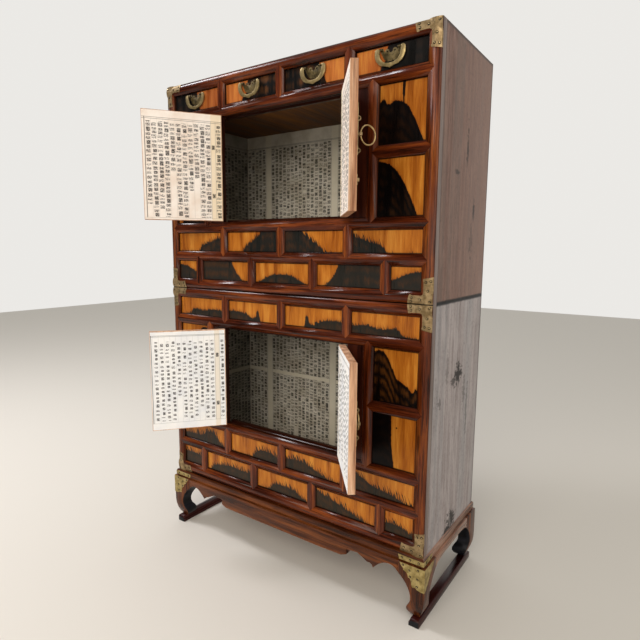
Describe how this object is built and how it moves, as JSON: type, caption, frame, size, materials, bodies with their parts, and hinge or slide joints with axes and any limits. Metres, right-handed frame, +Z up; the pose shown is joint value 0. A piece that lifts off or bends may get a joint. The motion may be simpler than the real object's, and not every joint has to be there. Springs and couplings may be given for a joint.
{
  "type": "two tier clothes chest",
  "caption": "Two stacked chests with persimmon panels, paper lined double doors, small drawers and brass fittings, on a low stand with curved legs and runners.",
  "frame": {"origin": "on the floor, midway between the sides and between the front crests and the back of the chests", "axes": "+Z up, +Y from the doors to the back, +X to the viewer's right"},
  "size_m": [0.922, 0.5532, 1.43],
  "materials": {
    "frame_wood": "red brown oiled hardwood, rounded and polished",
    "persimmon_panel": "orange persimmon wood with black heartwood figure, polished",
    "door_wood": "framed panel, lined with printed paper on its inner face",
    "case_wood": "aged grey brown softwood, dry",
    "inner_wood": "plain softwood",
    "stand_wood": "dark red brown oiled hardwood",
    "brass": "aged yellow brass with dark tarnish"
  },
  "bodies": {
    "root": {"stand_band": "stand_wood", "stand_front_apron": "stand_wood", "stand_back_apron": "stand_wood", "stand_side_aprons": "stand_wood", "stand_front_legs": "stand_wood", "stand_back_legs": "stand_wood", "stand_runners": "stand_wood", "stand_brasses": "brass", "lower_posts": "frame_wood", "lower_rails": "frame_wood", "lower_uprights": "frame_wood", "lower_panels": "persimmon_panel", "lower_side_boards": "case_wood", "lower_top_board": "case_wood", "lower_bottom_board": "inner_wood", "lower_back_boards": "inner_wood", "lower_brasses": "brass", "upper_posts": "frame_wood", "upper_rails": "frame_wood", "upper_uprights": "frame_wood", "upper_panels": "persimmon_panel", "upper_side_boards": "case_wood", "upper_top_board": "case_wood", "upper_bottom_board": "inner_wood", "upper_back_boards": "inner_wood", "upper_brasses": "brass", "upper_dust_board": "inner_wood", "upper_drawer_guides": "inner_wood"},
    "lower_left_door": {"lower_left_door_frame": "door_wood", "lower_left_door_panel": "door_wood", "lower_left_door_brasses": "brass"},
    "lower_left_door_ring": {"lower_left_door_ring": "brass"},
    "lower_right_door": {"lower_right_door_frame": "door_wood", "lower_right_door_panel": "door_wood", "lower_right_door_brasses": "brass"},
    "lower_right_door_ring": {"lower_right_door_ring": "brass"},
    "upper_left_door": {"upper_left_door_frame": "door_wood", "upper_left_door_panel": "door_wood", "upper_left_door_brasses": "brass"},
    "upper_left_door_ring": {"upper_left_door_ring": "brass"},
    "upper_right_door": {"upper_right_door_frame": "door_wood", "upper_right_door_panel": "door_wood", "upper_right_door_brasses": "brass"},
    "upper_right_door_ring": {"upper_right_door_ring": "brass"},
    "drawer_1": {"drawer_1_front": "persimmon_panel", "drawer_1_box": "inner_wood", "drawer_1_pull_plate": "brass"},
    "drawer_1_bail": {"drawer_1_bail": "brass"},
    "drawer_2": {"drawer_2_front": "persimmon_panel", "drawer_2_box": "inner_wood", "drawer_2_pull_plate": "brass"},
    "drawer_2_bail": {"drawer_2_bail": "brass"},
    "drawer_3": {"drawer_3_front": "persimmon_panel", "drawer_3_box": "inner_wood", "drawer_3_pull_plate": "brass"},
    "drawer_3_bail": {"drawer_3_bail": "brass"},
    "drawer_4": {"drawer_4_front": "persimmon_panel", "drawer_4_box": "inner_wood", "drawer_4_pull_plate": "brass"},
    "drawer_4_bail": {"drawer_4_bail": "brass"}
  },
  "joints": [
    {"name": "lower_left_door_hinge", "type": "hinge", "parent": "root", "child": "lower_left_door", "pos_m": [-0.2195, -0.1758, 0.54425], "axis": [0, 0, -1], "range_deg": [-129.5, 30.5]},
    {"name": "lower_left_door_ring_swivel", "type": "hinge", "parent": "lower_left_door", "child": "lower_left_door_ring", "pos_m": [-0.35018, -0.32662, 0.55225], "axis": [0, 0, -1], "range_deg": [-110, 0]},
    {"name": "lower_right_door_hinge", "type": "hinge", "parent": "root", "child": "lower_right_door", "pos_m": [0.2195, -0.1758, 0.54425], "axis": [0, 0, 1], "range_deg": [-129, 31]},
    {"name": "lower_right_door_ring_swivel", "type": "hinge", "parent": "lower_right_door", "child": "lower_right_door_ring", "pos_m": [0.34886, -0.32776, 0.55225], "axis": [0, 0, 1], "range_deg": [-110, 0]},
    {"name": "upper_left_door_hinge", "type": "hinge", "parent": "root", "child": "upper_left_door", "pos_m": [-0.2195, -0.1758, 1.16425], "axis": [0, 0, -1], "range_deg": [-126, 34]},
    {"name": "upper_left_door_ring_swivel", "type": "hinge", "parent": "upper_left_door", "child": "upper_left_door_ring", "pos_m": [-0.34073, -0.33432, 1.17225], "axis": [0, 0, -1], "range_deg": [-110, 0]},
    {"name": "upper_right_door_hinge", "type": "hinge", "parent": "root", "child": "upper_right_door", "pos_m": [0.2195, -0.1758, 1.16425], "axis": [0, 0, 1], "range_deg": [-127, 33]},
    {"name": "upper_right_door_ring_swivel", "type": "hinge", "parent": "upper_right_door", "child": "upper_right_door_ring", "pos_m": [0.34347, -0.33218, 1.17225], "axis": [0, 0, 1], "range_deg": [-53, 57]},
    {"name": "drawer_1_slide", "type": "slide", "parent": "root", "child": "drawer_1", "axis": [0, -1, 0], "range_m": [0, 0.22]},
    {"name": "drawer_1_bail_pivot", "type": "hinge", "parent": "drawer_1", "child": "drawer_1_bail", "pos_m": [-0.325, -0.176, 1.38925], "axis": [-1, 0, 0], "range_deg": [0, 95]},
    {"name": "drawer_2_slide", "type": "slide", "parent": "root", "child": "drawer_2", "axis": [0, -1, 0], "range_m": [0, 0.22]},
    {"name": "drawer_2_bail_pivot", "type": "hinge", "parent": "drawer_2", "child": "drawer_2_bail", "pos_m": [-0.1085, -0.176, 1.38925], "axis": [-1, 0, 0], "range_deg": [0, 95]},
    {"name": "drawer_3_slide", "type": "slide", "parent": "root", "child": "drawer_3", "axis": [0, -1, 0], "range_m": [0, 0.22]},
    {"name": "drawer_3_bail_pivot", "type": "hinge", "parent": "drawer_3", "child": "drawer_3_bail", "pos_m": [0.1085, -0.176, 1.38925], "axis": [-1, 0, 0], "range_deg": [0, 95]},
    {"name": "drawer_4_slide", "type": "slide", "parent": "root", "child": "drawer_4", "axis": [0, -1, 0], "range_m": [0, 0.22]},
    {"name": "drawer_4_bail_pivot", "type": "hinge", "parent": "drawer_4", "child": "drawer_4_bail", "pos_m": [0.325, -0.176, 1.38925], "axis": [-1, 0, 0], "range_deg": [0, 95]}
  ]
}
